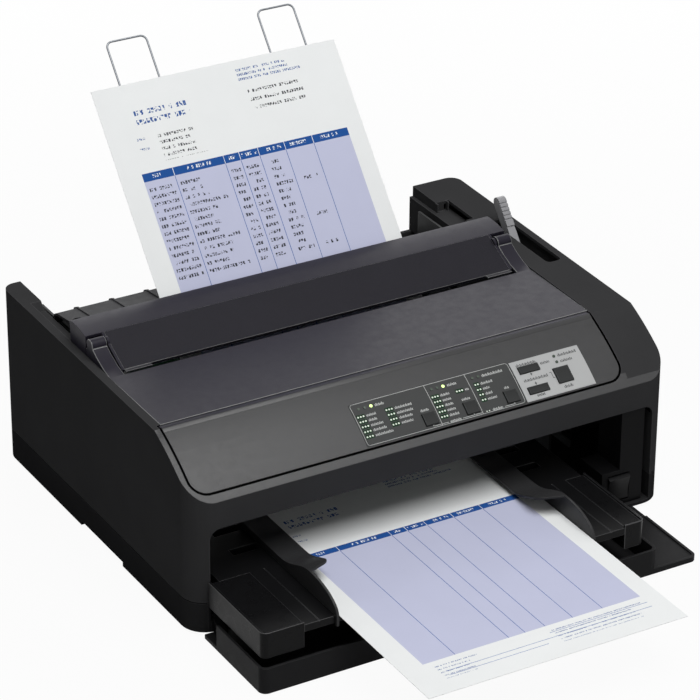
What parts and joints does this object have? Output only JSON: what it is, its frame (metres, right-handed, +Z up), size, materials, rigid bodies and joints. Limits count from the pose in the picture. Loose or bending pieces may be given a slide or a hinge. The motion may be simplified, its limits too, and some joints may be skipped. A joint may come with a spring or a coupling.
{
  "type": "dot matrix printer",
  "caption": "Desktop dot matrix printer with curved control panel, hinged smoked top cover, front cover lying open with a sheet guide, rear sheet support and a full print mechanism.",
  "frame": {"origin": "on the table, on the middle plane of the case, 15 mm behind the axis of the platen", "axes": "+X to the right along the platen, +Y to the back, +Z up"},
  "size_m": [0.429, 0.5628, 0.3185],
  "materials": {
    "case": "fine texture",
    "panel": "satin",
    "label": "satin",
    "silver_label": "satin",
    "board": "satin",
    "lens": "clear",
    "key": "satin",
    "rubber": "matte",
    "steel": "satin",
    "wire": "bright",
    "cover": "satin",
    "guide": "satin",
    "edge_guide": "satin",
    "smoked": "smoked",
    "lever": "satin",
    "paper": "matte",
    "bush": "satin",
    "gear": "satin",
    "mechanism": "satin",
    "head": "cast"
  },
  "bodies": {
    "printer": {"lower_case": "case", "upper_case": "case", "switch_panel": "case", "control_panel": "panel", "key_label": "label", "key_plate": "silver_label", "panel_board": "board", "main_board": "board", "indicator_lenses": "lens", "rubber_feet": "rubber", "drive_belt": "rubber", "case_screws": "steel", "hinge_pins": "steel", "lever_pin": "steel", "rear_stay": "steel", "base_frame": "steel", "left_frame": "steel", "right_frame": "steel", "carriage_rods": "steel", "tractor_shaft": "steel", "power_supply": "steel", "feed_motor": "steel", "carriage_motor": "steel", "front_guide": "guide", "left_guide_block": "guide", "right_guide_block": "guide", "rear_guide": "guide", "hood": "smoked", "tear_off_bar": "smoked", "platen_bushes": "bush", "rear_sockets": "mechanism"},
    "eject_button": {"eject_button": "key"},
    "feed_button": {"feed_button": "key"},
    "pause_button": {"pause_button": "key"},
    "font_button": {"font_button": "key"},
    "pitch_button": {"pitch_button": "key"},
    "menu_button": {"menu_button": "key"},
    "power_switch": {"power_switch": "key"},
    "front_cover": {"front_cover": "cover"},
    "left_edge_guide": {"left_edge_guide": "edge_guide"},
    "right_edge_guide": {"right_edge_guide": "edge_guide"},
    "top_cover": {"top_cover": "smoked"},
    "release_lever": {"release_lever": "lever"},
    "sheet_support": {"sheet_support": "guide"},
    "support_wires": {"support_wires": "wire"},
    "rear_sheet": {"rear_sheet": "paper"},
    "front_sheet": {"front_sheet": "paper"},
    "platen": {"platen": "rubber", "platen_gear": "gear", "platen_knob": "case"},
    "idler_gear": {"idler_gear": "gear"},
    "feed_pinion": {"feed_pinion": "bush"},
    "pressure_rollers": {"pressure_rollers": "rubber"},
    "carriage": {"carriage": "mechanism", "print_head": "head", "ribbon_cartridge": "mechanism"},
    "left_pulley": {"left_pulley": "gear"},
    "right_pulley": {"right_pulley": "gear"},
    "left_tractor": {"left_tractor": "mechanism"},
    "right_tractor": {"right_tractor": "mechanism"}
  },
  "joints": [
    {"name": "eject_button_press", "type": "slide", "parent": "printer", "child": "eject_button", "axis": [0, 0.5395, -0.842], "range_m": [0, 0.001], "stiffness_N_per_m": 150},
    {"name": "feed_button_press", "type": "slide", "parent": "printer", "child": "feed_button", "axis": [0, 0.6075, -0.7943], "range_m": [0, 0.001], "stiffness_N_per_m": 150},
    {"name": "pause_button_press", "type": "slide", "parent": "printer", "child": "pause_button", "axis": [0, 0.5854, -0.8108], "range_m": [0, 0.001], "stiffness_N_per_m": 150},
    {"name": "font_button_press", "type": "slide", "parent": "printer", "child": "font_button", "axis": [0, 0.6071, -0.7946], "range_m": [0, 0.001], "stiffness_N_per_m": 150},
    {"name": "pitch_button_press", "type": "slide", "parent": "printer", "child": "pitch_button", "axis": [0, 0.6071, -0.7946], "range_m": [0, 0.001], "stiffness_N_per_m": 150},
    {"name": "menu_button_press", "type": "slide", "parent": "printer", "child": "menu_button", "axis": [0, 0.6071, -0.7946], "range_m": [0, 0.001], "stiffness_N_per_m": 150},
    {"name": "power_switch_rock", "type": "hinge", "parent": "printer", "child": "power_switch", "pos_m": [0.1655, -0.1671, 0.0215], "axis": [1, 0, 0], "range_deg": [-14, 0]},
    {"name": "front_cover_hinge", "type": "hinge", "parent": "printer", "child": "front_cover", "pos_m": [0, -0.1705, 0.0105], "axis": [-1, 0, 0], "range_deg": [0, 8]},
    {"name": "left_edge_guide_slide", "type": "slide", "parent": "printer", "child": "left_edge_guide", "axis": [-1, 0, 0], "range_m": [0, 0.02]},
    {"name": "right_edge_guide_slide", "type": "slide", "parent": "printer", "child": "right_edge_guide", "axis": [1, 0, 0], "range_m": [0, 0.02]},
    {"name": "top_cover_hinge", "type": "hinge", "parent": "printer", "child": "top_cover", "pos_m": [0, 0.002, 0.16], "axis": [-1, 0, 0], "range_deg": [0, 95]},
    {"name": "release_lever_swing", "type": "hinge", "parent": "printer", "child": "release_lever", "pos_m": [0.192, 0.006, 0.116], "axis": [1, 0, 0], "range_deg": [0, 70]},
    {"name": "sheet_support_fold", "type": "hinge", "parent": "printer", "child": "sheet_support", "pos_m": [0, 0.04804, 0.1612], "axis": [-1, 0, 0], "range_deg": [0, 50]},
    {"name": "support_wires_slide", "type": "slide", "parent": "sheet_support", "child": "support_wires", "axis": [0, 0.6481, 0.7615], "range_m": [-0.05, 0]},
    {"name": "rear_sheet_slide", "type": "slide", "parent": "printer", "child": "rear_sheet", "axis": [0, 0.6481, 0.7615], "range_m": [0, 0.1]},
    {"name": "front_sheet_slide", "type": "slide", "parent": "printer", "child": "front_sheet", "axis": [0, -1, 0], "range_m": [0, 0.1]},
    {"name": "platen_turn", "type": "hinge", "parent": "printer", "child": "platen", "pos_m": [0, -0.015, 0.12], "axis": [1, 0, 0], "continuous": true},
    {"name": "idler_gear_turn", "type": "hinge", "parent": "printer", "child": "idler_gear", "pos_m": [-0.193, 0.00621, 0.09879], "axis": [1, 0, 0], "continuous": true},
    {"name": "feed_pinion_turn", "type": "hinge", "parent": "printer", "child": "feed_pinion", "pos_m": [-0.193, 0.02353, 0.08879], "axis": [1, 0, 0], "continuous": true},
    {"name": "pressure_rollers_turn", "type": "hinge", "parent": "printer", "child": "pressure_rollers", "pos_m": [0, 0.00153, 0.10594], "axis": [1, 0, 0], "continuous": true},
    {"name": "carriage_slide", "type": "slide", "parent": "printer", "child": "carriage", "axis": [1, 0, 0], "range_m": [-0.104, 0.104]},
    {"name": "left_pulley_turn", "type": "hinge", "parent": "printer", "child": "left_pulley", "pos_m": [-0.172, -0.1092, 0.074], "axis": [0, 1, 0], "range_deg": [-720, 720]},
    {"name": "right_pulley_turn", "type": "hinge", "parent": "printer", "child": "right_pulley", "pos_m": [0.138, -0.1092, 0.074], "axis": [0, 1, 0], "range_deg": [-720, 720]},
    {"name": "left_tractor_slide", "type": "slide", "parent": "printer", "child": "left_tractor", "axis": [1, 0, 0], "range_m": [-0.01, 0.01]},
    {"name": "right_tractor_slide", "type": "slide", "parent": "printer", "child": "right_tractor", "axis": [1, 0, 0], "range_m": [-0.01, 0.01]}
  ],
  "couplings": [
    {"joint": "idler_gear_turn", "follows": "platen_turn", "ratio": -1.6667},
    {"joint": "feed_pinion_turn", "follows": "platen_turn", "ratio": 2.1429},
    {"joint": "pressure_rollers_turn", "follows": "platen_turn", "ratio": -2.4833},
    {"joint": "left_pulley_turn", "follows": "carriage_slide", "rad_per_m": 116.28},
    {"joint": "right_pulley_turn", "follows": "carriage_slide", "rad_per_m": 116.28}
  ]
}
